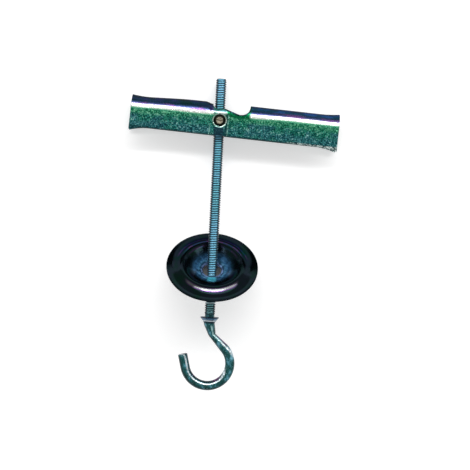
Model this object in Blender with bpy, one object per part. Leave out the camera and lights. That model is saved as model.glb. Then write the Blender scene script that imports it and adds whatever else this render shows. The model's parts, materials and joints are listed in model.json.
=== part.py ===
"""Toggle anchor: a hook bolt, a dished cover washer, a trunnion nut and a folded toggle bar.

The anchor frame has its origin where the trunnion axis crosses the rod. Its +Y runs to the rod's
free end, +X along the longer arm of the bar and +Z along the trunnion axis. The pieces are placed in
that frame, and an empty then lays it on the floor, where the anchor rests on three points: the two
flared ends of the bar and the rim of the washer.
"""

import math

import bmesh
import bpy
from mathutils import Matrix, Vector

MM = 0.001

# Clearances between pieces
GAP = 0.32 * MM
TRUNNION_GAP = 0.35 * MM
BARREL_END_GAP = 0.5 * MM

# Hook bolt: rod, collar and hook in one piece of wire
THREAD_D = 4.76 * MM
SHANK_D = 4.3 * MM
ROD_BEYOND_PIVOT = 19.1 * MM
ROD_END_CHAMFER = 0.5 * MM
PIVOT_TO_COLLAR = 89.6 * MM
THREAD_RUNOUT = 1.6 * MM
COLLAR_D = 8.5 * MM
COLLAR_RIM = 0.5 * MM
COLLAR_TAPER = 1.3 * MM
COLLAR_FOOT_D = 5.9 * MM
COLLAR_FOOT = 0.5 * MM
NECK_D = 5.2 * MM
NECK_BELOW_COLLAR = 0.7 * MM
NECK_LEAN = math.radians(17)
NECK_BEND_R = 4.0 * MM
KINK_BEND_R = 3.0 * MM
HOOK_R = 10.3 * MM
HOOK_BELOW_COLLAR = 21.2 * MM
HOOK_START = math.radians(45)
HOOK_END = math.radians(-166)
HOOK_TIP_LENGTH = 6.4 * MM
HOOK_TIP_CHAMFER = 0.35 * MM

# Cover washer, pressed from sheet; heights are above the flat rim, on the side that faces the bar
WASHER_D = 41.8 * MM
WASHER_SHEET = 1.0 * MM
WASHER_HOLE_D = 8.6 * MM
WASHER_SEAT_D = 11.0 * MM
WASHER_SEAT_HEIGHT = -2.4 * MM
WASHER_STEP_D = 18.4 * MM
WASHER_STEP_HEIGHT = -0.3 * MM
WASHER_BEAD_D = 27.4 * MM
WASHER_BEAD_HEIGHT = 2.1 * MM
WASHER_RIM_WIDTH = 3.1 * MM
PIVOT_TO_WASHER = 68.4 * MM

# Trunnion nut
BARREL_D = 7.6 * MM
BARREL_CHAMFER = 0.8 * MM
TRUNNION_D = 4.9 * MM
TRUNNION_CHAMFER = 0.6 * MM
TRUNNION_BELOW_FLANGE = 0.25 * MM

# Toggle bar, folded from sheet into a channel with a round back
BAR_SHORT_ARM = 40.5 * MM
BAR_LONG_ARM = 54.2 * MM
BAR_WIDTH = 11.0 * MM
BAR_SHEET = 1.2 * MM
PIVOT_TO_BACK = 8.2 * MM
PIVOT_TO_EDGE = 6.85 * MM
BAR_LEAN = math.radians(3.45)
FLARE_LENGTH = 9.0 * MM
FLARE_RISE = 0.7 * MM
FLARE_EDGE_DROP = 1.5 * MM
PAD_RAMP = 0.7 * MM
PAD_RISE = 0.35 * MM
HOLE_CHAMFER = 0.3 * MM

# Slot through the back of the bar, which the rod swings into when the bar folds
SLOT_SHORT_SIDE = 3.5 * MM
SLOT_FLOOR = 5.0 * MM
SLOT_FLOOR_HALF = 2.4 * MM
SLOT_CORNER = 0.5 * MM
SCALLOP_R = 4.2 * MM
SCALLOP_FLOOR = 3.45 * MM
SCALLOP_FROM_PIVOT = 9.3 * MM
SAG_LENGTH = 3.5 * MM
SAG_DEPTH = 0.8 * MM

# The back of the short arm is lower at its end
DROP_LENGTH = 30.0 * MM
DROP_DEPTH = 1.15 * MM

# Facets
ROD_SIDES = 32
BEND_STEP = math.radians(7.5)
WASHER_SIDES = 72
PRESS_STEPS = 4
BACK_SEGMENTS = 18


def clear_scene():
    for obj in list(bpy.data.objects):
        bpy.data.objects.remove(obj, do_unlink=True)


def make_material(name, colour, roughness, metallic):
    material = bpy.data.materials.new(name)
    material.use_nodes = True
    shader = material.node_tree.nodes["Principled BSDF"]
    shader.inputs["Base Color"].default_value = (*colour, 1.0)
    shader.inputs["Roughness"].default_value = roughness
    shader.inputs["Metallic"].default_value = metallic
    material.diffuse_color = (*colour, 1.0)
    return material


def add_empty(name, parent=None):
    empty = bpy.data.objects.new(name, None)
    bpy.context.scene.collection.objects.link(empty)
    empty.parent = parent
    return empty


def add_object(name, bm, parent, material=None, sharp=math.radians(35)):
    """Turn a bmesh into a smooth-shaded object that hangs on its parent."""
    bmesh.ops.recalc_face_normals(bm, faces=bm.faces)
    mesh = bpy.data.meshes.new(name)
    bm.to_mesh(mesh)
    bm.free()
    mesh.shade_smooth()
    mesh.set_sharp_from_angle(angle=sharp)
    obj = bpy.data.objects.new(name, mesh)
    bpy.context.scene.collection.objects.link(obj)
    obj.parent = parent
    if material:
        mesh.materials.append(material)
    return obj


def cut_with(obj, cutter):
    """Take the cutter's shape out of obj and keep the cutter out of sight."""
    cutter.hide_render = True
    cutter.display_type = "WIRE"
    modifier = obj.modifiers.new(cutter.name, "BOOLEAN")
    modifier.operation = "DIFFERENCE"
    modifier.solver = "EXACT"
    modifier.object = cutter


def bridge_rings(bm, rings):
    """Quads between neighbouring closed rings, and a cap on each end."""
    for lower, upper in zip(rings, rings[1:]):
        for i in range(len(lower)):
            j = (i + 1) % len(lower)
            bm.faces.new((lower[i], lower[j], upper[j], upper[i]))
    bm.faces.new(rings[0])
    bm.faces.new(rings[-1])


def turned(stations, sides):
    """A turned shape about Z from (height, radius) stations."""
    bm = bmesh.new()
    rings = []
    for height, radius in stations:
        angles = [math.tau * i / sides for i in range(sides)]
        points = [(radius * math.cos(a), radius * math.sin(a), height) for a in angles]
        rings.append([bm.verts.new(p) for p in points])
    bridge_rings(bm, rings)
    return bm


def swept(stations, sides):
    """A round bar through (point, direction, radius) stations that lie in the XY plane."""
    bm = bmesh.new()
    rings = []
    for point, direction, radius in stations:
        across = Vector((direction.y, -direction.x, 0))
        ring = []
        for i in range(sides):
            angle = math.tau * i / sides
            offset = across * math.cos(angle) + Vector((0, 0, math.sin(angle)))
            ring.append(bm.verts.new(point + offset * radius))
        rings.append(ring)
    bridge_rings(bm, rings)
    return bm


def prism(outline, half_height):
    """A prism along Z from a closed outline of (x, y) points."""
    bm = bmesh.new()
    rings = []
    for z in (-half_height, half_height):
        rings.append([bm.verts.new((x, y, z)) for x, y in outline])
    bridge_rings(bm, rings)
    return bm


def arc(centre, radius, start, end, step=BEND_STEP):
    """Points and directions of travel along an arc in the XY plane, both ends included."""
    count = max(2, round(abs(end - start) / step))
    turn = math.copysign(1, end - start)
    points = []
    for i in range(count + 1):
        angle = start + (end - start) * i / count
        spoke = Vector((math.cos(angle), math.sin(angle), 0))
        travel = Vector((-spoke.y, spoke.x, 0)) * turn
        points.append((centre + spoke * radius, travel))
    return points


def bend(corner, before, after, radius):
    """The arc that rounds a corner between two unit directions of travel."""
    angle = before.angle(after)
    setback = radius * math.tan(angle / 2)
    turn = math.copysign(1, before.cross(after).z)
    inward = Vector((-before.y, before.x, 0)) * turn
    centre = corner - before * setback + inward * radius
    start = math.atan2(-inward.y, -inward.x)
    return arc(centre, radius, start, start + turn * angle)


def hook_centre():
    return Vector((0, -PIVOT_TO_COLLAR - HOOK_BELOW_COLLAR, 0))


def hook_path():
    """The hook's centre line from the neck's first bend to the tip, as (point, direction) pairs."""
    down = Vector((0, -1, 0))
    leaning = Vector((math.sin(NECK_LEAN), -math.cos(NECK_LEAN), 0))
    ring = arc(hook_centre(), HOOK_R, HOOK_START, HOOK_END)
    ring_start, into_ring = ring[0]
    neck_top = Vector((0, -PIVOT_TO_COLLAR - collar_height() - NECK_BELOW_COLLAR, 0))
    reach = (neck_top - ring_start).cross(into_ring).z / into_ring.cross(leaning).z
    kink = neck_top + leaning * reach
    path = bend(neck_top, down, leaning, NECK_BEND_R)
    path += bend(kink, leaning, into_ring, KINK_BEND_R)
    path += ring
    ring_end, out_of_ring = ring[-1]
    path.append((ring_end + out_of_ring * (HOOK_TIP_LENGTH - HOOK_TIP_CHAMFER), out_of_ring))
    path.append((ring_end + out_of_ring * HOOK_TIP_LENGTH, out_of_ring))
    return path


def collar_height():
    return COLLAR_RIM + COLLAR_TAPER + COLLAR_FOOT


def rod_stations():
    """The straight part of the bolt from its free end to the foot of the collar."""
    collar = -PIVOT_TO_COLLAR
    foot = collar - COLLAR_RIM - COLLAR_TAPER
    levels = [
        (ROD_BEYOND_PIVOT, THREAD_D / 2 - ROD_END_CHAMFER),
        (ROD_BEYOND_PIVOT - ROD_END_CHAMFER, THREAD_D / 2),
        (collar + THREAD_RUNOUT, THREAD_D / 2),
        (collar + THREAD_RUNOUT - (THREAD_D - SHANK_D), SHANK_D / 2),
        (collar, SHANK_D / 2),
        (collar, COLLAR_D / 2 - COLLAR_RIM / 3),
        (collar - COLLAR_RIM / 3, COLLAR_D / 2),
        (collar - COLLAR_RIM, COLLAR_D / 2),
        (foot, COLLAR_FOOT_D / 2),
        (foot - COLLAR_FOOT, COLLAR_FOOT_D / 2),
        (foot - COLLAR_FOOT, NECK_D / 2),
    ]
    down = Vector((0, -1, 0))
    return [(Vector((0, y, 0)), down, radius) for y, radius in levels]


def hook_stations():
    """The hook, whose neck draws down to the wire's size before the ring."""
    path = hook_path()
    neck_points = len(path) - len(arc(hook_centre(), HOOK_R, HOOK_START, HOOK_END)) - 2
    stations = []
    for i, (point, direction) in enumerate(path):
        drawn = min(1.0, i / neck_points)
        radius = (NECK_D + (SHANK_D - NECK_D) * drawn) / 2
        stations.append((point, direction, radius))
    point, direction, radius = stations[-1]
    stations[-1] = (point, direction, radius - HOOK_TIP_CHAMFER)
    return stations


def add_hook_bolt(parent):
    bm = swept(rod_stations() + hook_stations(), ROD_SIDES)
    material = make_material("zinc_teal", (0.16, 0.34, 0.38), 0.28, 0.95)
    return add_object("hook_bolt", bm, parent, material)


def rounded(corners, steps):
    """An open outline whose corners are parabolas between the middles of its sides."""
    points = [corners[0]]
    for before, corner, after in zip(corners, corners[1:], corners[2:]):
        start = before.lerp(corner, 0.5)
        end = corner.lerp(after, 0.5)
        for i in range(steps):
            t = i / steps
            points.append(start.lerp(corner, t).lerp(corner.lerp(end, t), t))
    points.append(corners[-2].lerp(corners[-1], 0.5))
    points.append(corners[-1])
    return points


def washer_profile():
    """(radius, height) of the face towards the bar, from the hole out to the rim."""
    corners = [
        (WASHER_HOLE_D / 2, WASHER_SEAT_HEIGHT),
        (WASHER_SEAT_D / 2, WASHER_SEAT_HEIGHT),
        (WASHER_STEP_D / 2, WASHER_STEP_HEIGHT),
        (WASHER_BEAD_D / 2, WASHER_BEAD_HEIGHT),
        (WASHER_D / 2 - WASHER_RIM_WIDTH, 0.0),
        (WASHER_D / 2, 0.0),
    ]
    return rounded([Vector(corner) for corner in corners], PRESS_STEPS)


def washer_tilt():
    """How far the washer leans before its hole meets the rod, less the clearance on both sides."""
    passage = THREAD_D + 2 * GAP
    diagonal = math.hypot(WASHER_HOLE_D, WASHER_SHEET)
    return math.acos(passage / diagonal) - math.atan2(WASHER_SHEET, WASHER_HOLE_D)


def add_cover_washer(parent):
    """A revolved sheet about local Z. Its origin is the middle of the hole, on the rod's axis."""
    bm = bmesh.new()
    middle = WASHER_SEAT_HEIGHT - WASHER_SHEET / 2
    profile = [bm.verts.new((p.x, 0, p.y - middle)) for p in washer_profile()]
    edges = [bm.edges.new(pair) for pair in zip(profile, profile[1:])]
    bmesh.ops.spin(
        bm, geom=profile + edges, cent=(0, 0, 0), axis=(0, 0, 1),
        angle=math.tau, steps=WASHER_SIDES, use_merge=True,
    )
    material = make_material("zinc_dark", (0.03, 0.045, 0.06), 0.25, 0.9)
    washer = add_object("cover_washer", bm, parent, material)
    if washer.data.polygons[0].normal.z < 0:
        washer.data.flip_normals()
    sheet = washer.modifiers.new("sheet", "SOLIDIFY")
    sheet.thickness = WASHER_SHEET
    sheet.offset = -1
    sheet.use_even_offset = True
    washer.location = (0, -PIVOT_TO_WASHER, 0)
    washer.rotation_euler = (washer_tilt() - math.pi / 2, 0, 0)
    return washer


def pad_half_width():
    """Half the bar's outer width at the swelled pad round the pivot."""
    return BAR_WIDTH / 2 + PAD_RISE


def pad_half_length():
    """How far the pad reaches along the bar from the pivot, so that the barrel fits inside it."""
    return BARREL_D / 2 + GAP + PAD_RAMP


def add_trunnion_nut(parent):
    """A barrel between the flanges, with a trunnion in each and a cross hole for the rod."""
    shoulder = pad_half_width() - BAR_SHEET - BARREL_END_GAP
    end = pad_half_width() - TRUNNION_BELOW_FLANGE
    upper = [
        (shoulder - BARREL_CHAMFER, BARREL_D / 2),
        (shoulder, BARREL_D / 2 - BARREL_CHAMFER),
        (shoulder, TRUNNION_D / 2),
        (end - TRUNNION_CHAMFER, TRUNNION_D / 2),
        (end, TRUNNION_D / 2 - TRUNNION_CHAMFER),
    ]
    lower = [(-height, radius) for height, radius in reversed(upper)]
    material = make_material("brass", (0.62, 0.47, 0.24), 0.38, 1.0)
    nut = add_object("trunnion_nut", turned(lower + upper, ROD_SIDES), parent, material)
    hole = turned([(-BARREL_D, THREAD_D / 2 + GAP), (BARREL_D, THREAD_D / 2 + GAP)], ROD_SIDES)
    cutter = add_object("rod_hole_cutter", hole, parent)
    cutter.rotation_euler = (math.pi / 2, 0, 0)
    cut_with(nut, cutter)
    return nut


def smooth(t):
    """0 to 1 with level ends."""
    t = min(max(t, 0.0), 1.0)
    return t * t * (3 - 2 * t)


def flare_at(x):
    """0 along the bar, rising to 1 at its flared mouths."""
    from_end = min(x + BAR_SHORT_ARM, BAR_LONG_ARM - x)
    return max(0.0, 1 - from_end / FLARE_LENGTH) ** 2


def pad_at(x):
    """1 on the swelled pad round the pivot, 0 outside it."""
    return smooth((pad_half_length() - abs(x)) / PAD_RAMP)


def sag_at(x):
    """How far the back has sunk beside the short arm's end of the slot."""
    return smooth((x + SLOT_SHORT_SIDE + SAG_LENGTH) / SAG_LENGTH) if x < 0 else 0.0


def drop_at(x):
    """How far the back of the short arm has come down on the way to its end, from 0 to 1."""
    return smooth((DROP_LENGTH - BAR_SHORT_ARM - x) / DROP_LENGTH)


def bar_stations():
    """Places along the bar where its section changes, with steps between them."""
    fifths = [i / 5 for i in range(6)]
    places = [-BAR_SHORT_ARM + FLARE_LENGTH * t for t in fifths]
    places += [BAR_LONG_ARM - FLARE_LENGTH * t for t in fifths]
    places += [-SLOT_SHORT_SIDE - SAG_LENGTH * t for t in fifths]
    places += [-BAR_SHORT_ARM + DROP_LENGTH * t for t in fifths]
    for t in (0, 0.5, 1):
        inset = PAD_RAMP * t
        places += [inset - pad_half_length(), pad_half_length() - inset]
    slot_end = SCALLOP_FROM_PIVOT + SCALLOP_R
    places += [0.0, slot_end / 2, slot_end, (slot_end + BAR_LONG_ARM) / 2]
    places.sort()
    kept = places[:1]
    for place in places[1:]:
        if place - kept[-1] > PAD_RAMP / 4:
            kept.append(place)
    return kept


def bar_section(x):
    """The outer (y, z) outline at a place along the bar, from one free edge round to the other."""
    half = BAR_WIDTH / 2
    round_centre = PIVOT_TO_BACK - half
    rise = FLARE_RISE * flare_at(x)
    swell = PAD_RISE * pad_at(x)
    flange = []
    for t in (1.0, 0.75, 0.5, 0.25):
        y = round_centre - t * (PIVOT_TO_EDGE + round_centre)
        flange.append((y - t * FLARE_EDGE_DROP * flare_at(x), half + rise + swell))
    points = list(flange)
    for i in range(BACK_SEGMENTS + 1):
        angle = math.pi * i / BACK_SEGMENTS
        outward = Vector((math.sin(angle), math.cos(angle)))
        sunk = (SAG_DEPTH * sag_at(x) + DROP_DEPTH * drop_at(x)) * outward.x
        side = math.copysign(swell * outward.y ** 2, outward.y)
        points.append((
            round_centre + outward.x * (half + rise) - sunk,
            outward.y * (half + rise) + side,
        ))
    points += [(y, -z) for y, z in reversed(flange)]
    return points


def add_slot_cutter(parent):
    """The slot seen along the trunnion axis: a low floor at the rod and a round scallop beyond."""
    top = PIVOT_TO_BACK + FLARE_RISE + BAR_SHEET
    floor_end = Vector((SLOT_FLOOR_HALF, SLOT_FLOOR, 0))
    centre = Vector((SCALLOP_FROM_PIVOT, SCALLOP_FLOOR + SCALLOP_R, 0))
    to_centre = centre - floor_end
    slope = math.atan2(to_centre.y, to_centre.x) - math.asin(SCALLOP_R / to_centre.length)
    scallop = arc(centre, SCALLOP_R, slope - math.pi / 2, 0.0)
    outline = [(-SLOT_SHORT_SIDE, top), (-SLOT_SHORT_SIDE, PIVOT_TO_BACK)]
    outline.append((-SLOT_FLOOR_HALF - SLOT_CORNER, SLOT_FLOOR + SLOT_CORNER / 2))
    outline += [(-SLOT_FLOOR_HALF, SLOT_FLOOR), (floor_end.x, floor_end.y)]
    outline += [(point.x, point.y) for point, _ in scallop]
    outline.append((SCALLOP_FROM_PIVOT + SCALLOP_R, top))
    return add_object("slot_cutter", prism(outline, BAR_WIDTH), parent)


def add_pivot_hole_cutter(parent):
    """The two pivot holes, chamfered where they open on the outside of the flanges."""
    radius = TRUNNION_D / 2 + TRUNNION_GAP
    face = pad_half_width()
    beyond = BAR_SHEET
    upper = [
        (face - HOLE_CHAMFER, radius),
        (face + beyond, radius + HOLE_CHAMFER + beyond),
    ]
    lower = [(-height, r) for height, r in reversed(upper)]
    return add_object("pivot_hole_cutter", turned(lower + upper, ROD_SIDES), parent)


def add_toggle_bar(parent):
    bm = bmesh.new()
    rows = []
    for x in bar_stations():
        rows.append([bm.verts.new((x, y, z)) for y, z in bar_section(x)])
    for row, following in zip(rows, rows[1:]):
        for i in range(len(row) - 1):
            bm.faces.new((row[i], row[i + 1], following[i + 1], following[i]))
    material = make_material("zinc_green", (0.10, 0.36, 0.26), 0.36, 0.85)
    bar = add_object("toggle_bar", bm, parent, material)
    if bar.data.polygons[0].normal.z < 0:
        bar.data.flip_normals()
    sheet = bar.modifiers.new("sheet", "SOLIDIFY")
    sheet.thickness = BAR_SHEET
    sheet.offset = -1
    sheet.use_even_offset = True
    cut_with(bar, add_slot_cutter(parent))
    cut_with(bar, add_pivot_hole_cutter(parent))
    return bar


def evaluated_points(obj):
    """The object's corners in world space, with its modifiers applied."""
    depsgraph = bpy.context.evaluated_depsgraph_get()
    mesh = obj.evaluated_get(depsgraph).data
    return [obj.matrix_world @ vertex.co for vertex in mesh.vertices]


def lay_on_floor(anchor, bar, washer, others):
    """Turn the anchor until its three lowest places are level, then centre it on the origin."""
    bpy.context.view_layer.update()
    bar_points = evaluated_points(bar)
    washer_points = evaluated_points(washer)
    all_points = bar_points + washer_points
    for obj in others:
        all_points += evaluated_points(obj)
    supports = [
        [p for p in bar_points if p.x < 0],
        [p for p in bar_points if p.x > 0],
        washer_points,
    ]
    turn = Matrix.Identity(3)
    for _ in range(12):
        low = [min((turn @ p for p in points), key=lambda p: p.z) for points in supports]
        up = (low[1] - low[0]).cross(low[2] - low[0])
        up = -up if up.z < 0 else up
        turn = up.rotation_difference(Vector((0, 0, 1))).to_matrix() @ turn
    laid = [turn @ p for p in all_points]
    lowest = [min(p[axis] for p in laid) for axis in range(3)]
    highest = [max(p[axis] for p in laid) for axis in range(3)]
    anchor.rotation_euler = turn.to_euler()
    anchor.location = (
        -(lowest[0] + highest[0]) / 2,
        -(lowest[1] + highest[1]) / 2,
        -lowest[2],
    )


def main():
    clear_scene()
    anchor = add_empty("anchor_frame")
    bar_axis = add_empty("bar_axis", anchor)
    bar_axis.rotation_euler = (0, 0, -BAR_LEAN)
    bolt = add_hook_bolt(anchor)
    washer = add_cover_washer(anchor)
    nut = add_trunnion_nut(anchor)
    bar = add_toggle_bar(bar_axis)
    lay_on_floor(anchor, bar, washer, [bolt, nut])


main()
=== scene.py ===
"""The looks of the toggle anchor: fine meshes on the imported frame, plated materials, light and camera.

Lengths are in metres. The anchor frame is the one the part is designed in: its origin is where the
trunnion axis crosses the rod, +Y runs to the rod's free end, +X along the longer arm of the bar and
+Z along the trunnion axis. Meshes are made in it, or in the bar's or washer's own frame, and then
moved to the row frame, so that every piece has its mesh where the solid has it.
"""

import json
import math

import bmesh
import bpy
from mathutils import Matrix, Vector

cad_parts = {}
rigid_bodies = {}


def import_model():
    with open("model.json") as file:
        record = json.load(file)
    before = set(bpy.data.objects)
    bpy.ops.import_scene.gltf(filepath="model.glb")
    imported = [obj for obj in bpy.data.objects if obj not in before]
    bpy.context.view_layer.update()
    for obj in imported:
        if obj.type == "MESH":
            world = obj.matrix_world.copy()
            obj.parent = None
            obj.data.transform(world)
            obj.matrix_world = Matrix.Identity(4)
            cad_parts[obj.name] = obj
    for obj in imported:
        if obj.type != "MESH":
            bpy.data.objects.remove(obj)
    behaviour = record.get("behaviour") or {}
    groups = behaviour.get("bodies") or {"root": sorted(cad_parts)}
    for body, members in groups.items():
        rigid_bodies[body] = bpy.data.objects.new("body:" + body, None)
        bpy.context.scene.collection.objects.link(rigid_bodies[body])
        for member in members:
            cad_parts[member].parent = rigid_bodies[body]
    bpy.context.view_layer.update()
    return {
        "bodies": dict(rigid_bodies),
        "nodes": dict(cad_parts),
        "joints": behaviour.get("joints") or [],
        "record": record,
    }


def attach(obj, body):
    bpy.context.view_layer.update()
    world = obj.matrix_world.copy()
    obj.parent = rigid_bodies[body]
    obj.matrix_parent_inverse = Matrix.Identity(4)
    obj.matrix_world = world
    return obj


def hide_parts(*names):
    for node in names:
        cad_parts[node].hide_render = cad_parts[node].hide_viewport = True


MM = 0.001

# Hook bolt
THREAD_D = 4.76 * MM
THREAD_PITCH = 25.4 / 24 * MM
THREAD_DEPTH = 0.46 * MM
SHANK_D = 4.3 * MM
ROD_BEYOND_PIVOT = 19.1 * MM
ROD_END_CHAMFER = 0.5 * MM
PIVOT_TO_COLLAR = 89.6 * MM
THREAD_SLOPE = 2.2
THREAD_RUNOUT = 1.6 * MM
THREAD_FADE = 1.5 * MM
SHANK_STEP = 0.5 * MM
COLLAR_D = 8.5 * MM
COLLAR_RIM = 0.5 * MM
COLLAR_TAPER = 1.3 * MM
COLLAR_FOOT_D = 5.9 * MM
COLLAR_FOOT = 0.5 * MM
NECK_D = 5.2 * MM
NECK_BELOW_COLLAR = 0.7 * MM
NECK_LEAN = math.radians(17)
NECK_BEND_R = 4.0 * MM
KINK_BEND_R = 3.0 * MM
HOOK_R = 10.3 * MM
HOOK_BELOW_COLLAR = 21.2 * MM
HOOK_START = math.radians(45)
HOOK_END = math.radians(-166)
HOOK_TIP_LENGTH = 6.4 * MM
HOOK_TIP_STATIONS = (0.25, 0.5, 0.75)
# Distance back from the tip and depth under the wire's surface, in millimetres
HOOK_TIP_EDGE = ((0.35, 0.0), (0.26, 0.03), (0.1, 0.14), (0.0, 0.35), (0.0, 0.9))
KINK_PINCH = 0.3
KINK_PINCH_LENGTH = 7.0 * MM

# Cover washer
WASHER_D = 41.8 * MM
WASHER_SHEET = 1.0 * MM
WASHER_HOLE_D = 8.6 * MM
WASHER_SEAT_D = 11.0 * MM
WASHER_SEAT_HEIGHT = -2.4 * MM
WASHER_STEP_D = 18.4 * MM
WASHER_STEP_HEIGHT = -0.3 * MM
WASHER_BEAD_D = 27.4 * MM
WASHER_BEAD_HEIGHT = 2.1 * MM
WASHER_RIM_WIDTH = 3.1 * MM
PIVOT_TO_WASHER = 68.4 * MM

# Trunnion nut
BARREL_D = 7.6 * MM
BARREL_CHAMFER = 0.8 * MM
BARREL_END_GAP = 0.5 * MM
TRUNNION_D = 4.9 * MM
TRUNNION_CHAMFER = 0.6 * MM
TRUNNION_GAP = 0.35 * MM
TRUNNION_BELOW_FLANGE = 0.25 * MM
GAP = 0.32 * MM

# Toggle bar
BAR_SHORT_ARM = 40.5 * MM
BAR_LONG_ARM = 54.2 * MM
BAR_WIDTH = 11.0 * MM
BAR_SHEET = 1.2 * MM
PIVOT_TO_BACK = 8.2 * MM
PIVOT_TO_EDGE = 6.85 * MM
BAR_LEAN = math.radians(3.45)
FLARE_LENGTH = 9.0 * MM
FLARE_RISE = 0.7 * MM
FLARE_EDGE_DROP = 1.5 * MM
PAD_RAMP = 0.7 * MM
PAD_RISE = 0.35 * MM
HOLE_RIM_DEPTH = 0.17 * MM
HOLE_RIM_WIDTH = 0.48 * MM
SLOT_SHORT_SIDE = 3.5 * MM
SLOT_LEFT_LIP = 6.5 * MM
SLOT_LOWEST = (-1.7 * MM, 4.85 * MM)
SLOT_FLOOR = (0.6 * MM, 5.1 * MM)
SLOT_RIGHT_LIP = (2.0 * MM, 5.55 * MM)
SCALLOP_R = 4.2 * MM
SCALLOP_FLOOR = 3.45 * MM
SCALLOP_FROM_PIVOT = 9.3 * MM
SAG_LENGTH = 3.5 * MM
SAG_DEPTH = 0.8 * MM
DROP_LENGTH = 30.0 * MM
DROP_DEPTH = 1.15 * MM
EDGE_ROUND = 0.14 * MM

# Facets and edges
ROD_SIDES = 48
ROD_ANGLES = [math.tau * i / ROD_SIDES for i in range(ROD_SIDES)]
RINGS_PER_TURN = 12
BEND_STEP = math.radians(3)
WASHER_SIDES = 192
WASHER_CURVE_STEPS = 12
FLANGE_STEPS = 12
BACK_SEGMENTS = 36
PAD_STEPS = 8
BAR_STEP = 0.5 * MM
PAD_MARGIN = 0.3 * MM
LEAST_STEP = 0.2 * MM
SHARP_ANGLE = math.radians(40)
BEVEL_ANGLE = math.radians(50)
BEVEL_SEGMENTS = 2

# Camera, found by fitting the photo's outlines; distances are in the anchor frame, the shift in pixels
LOOK_AT = Vector((0, -50, 0)) * MM
CAMERA_DISTANCE = 800 * MM
CAMERA_TILT = math.radians(1.2)
CAMERA_PAN = math.radians(0.69)
CAMERA_ROLL = math.radians(-2.85)
PIXELS_PER_METRE = 2190.0
FRAME_PIXELS = 470
OBJECT_SHIFT = (-21.05, -4.65)
SENSOR_WIDTH = 36.0

# Light; angles are from the camera's axis, distances and sizes in metres
WORLD_LEVEL = 0.46
KEY_RADIANCE = 22.0
KEY_FROM_CAMERA = math.radians(35)
KEY_TO_SIDE = 0.0
KEY_DISTANCE = 1.3
KEY_SIZE = (4.6, 0.06)
BOX_RADIANCE = 3.0
BOX_FROM_CAMERA = math.radians(37)
BOX_TO_SIDE = math.radians(10)
BOX_DISTANCE = 1.3
BOX_SIZE = (1.5, 0.5)

# Floor
FLOOR_RADIUS = 6.0
FLOOR_SIDES = 96
FLOOR_ALBEDO = 0.74
FLOOR_LIFT = 0.44
CONTACT_DISTANCE = 60 * MM
CONTACT_DARK = 0.4
CONTACT_CLEAR = 0.62
HOLE_SHADE_INNER = 5 * MM
HOLE_SHADE_OUTER = 15 * MM


# Frames


def placed(place, x_axis, y_axis, z_axis):
    """The matrix of a frame at a place, with its axes along three directions."""
    return Matrix.Translation(place) @ Matrix((x_axis, y_axis, z_axis)).transposed().to_4x4()


def anchor_frame(record):
    """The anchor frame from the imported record's trunnion hinge and rod axis."""
    joints = {joint["name"]: joint for joint in record["behaviour"]["joints"]}
    along_rod = Vector(joints["hook_turn"]["axis"]).normalized()
    trunnion = Vector(joints["bar_pivot"]["axis"]).normalized()
    across = along_rod.cross(trunnion).normalized()
    return placed(joints["bar_pivot"]["pos_m"], across, along_rod, across.cross(along_rod))


def washer_tilt():
    """The angle at which the washer's hole jams on the rod."""
    passage = THREAD_D + 2 * GAP
    diagonal = math.hypot(WASHER_HOLE_D, WASHER_SHEET)
    return math.acos(passage / diagonal) - math.atan2(WASHER_SHEET, WASHER_HOLE_D)


# Shapes


def smooth(t):
    t = min(max(t, 0.0), 1.0)
    return t * t * (3 - 2 * t)


def arc(centre, radius, start, end):
    """Points and directions of travel along an arc in the XY plane, both ends included."""
    count = max(2, round(abs(end - start) / BEND_STEP))
    turn = math.copysign(1, end - start)
    points = []
    for i in range(count + 1):
        angle = start + (end - start) * i / count
        spoke = Vector((math.cos(angle), math.sin(angle), 0))
        travel = Vector((-spoke.y, spoke.x, 0)) * turn
        points.append((centre + spoke * radius, travel))
    return points


def bend(corner, before, after, radius):
    """The arc that rounds a corner between two unit directions of travel."""
    angle = before.angle(after)
    setback = radius * math.tan(angle / 2)
    turn = math.copysign(1, before.cross(after).z)
    inward = Vector((-before.y, before.x, 0)) * turn
    centre = corner - before * setback + inward * radius
    start = math.atan2(-inward.y, -inward.x)
    return arc(centre, radius, start, start + turn * angle)


def add_object(name, data):
    obj = bpy.data.objects.new(name, data)
    bpy.context.scene.collection.objects.link(obj)
    return obj


def new_mesh(name, points, faces):
    mesh = bpy.data.meshes.new(name)
    mesh.from_pydata([tuple(p) for p in points], [], faces)
    return mesh


def face_outward(mesh):
    bm = bmesh.new()
    bm.from_mesh(mesh)
    bmesh.ops.recalc_face_normals(bm, faces=bm.faces)
    bm.to_mesh(mesh)
    bm.free()


def dress(name, mesh, frame, body, replaces):
    """Move a finished mesh to the row frame, as a piece that rides on a body and stands for a node."""
    face_outward(mesh)
    mesh.transform(frame)
    mesh.shade_smooth()
    mesh.set_sharp_from_angle(angle=SHARP_ANGLE)
    piece = add_object(name, mesh)
    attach(piece, body)
    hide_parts(replaces)
    return piece


def tube_faces(rings, sides):
    """Quads between neighbouring rings of the same number of points, and a cap on each end."""
    faces = []
    for ring in range(rings - 1):
        low = ring * sides
        for i in range(sides):
            j = (i + 1) % sides
            faces.append((low + i, low + j, low + sides + j, low + sides + i))
    faces.append(tuple(reversed(range(sides))))
    faces.append(tuple(range((rings - 1) * sides, rings * sides)))
    return faces


def thread_dip(y, angle):
    """How far the thread's surface lies under its crest, for a right-hand thread about +Y."""
    phase = (y / THREAD_PITCH - angle / math.tau) % 1.0
    return THREAD_DEPTH * smooth(THREAD_SLOPE * abs(2 * phase - 1) - 1.0)


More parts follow.
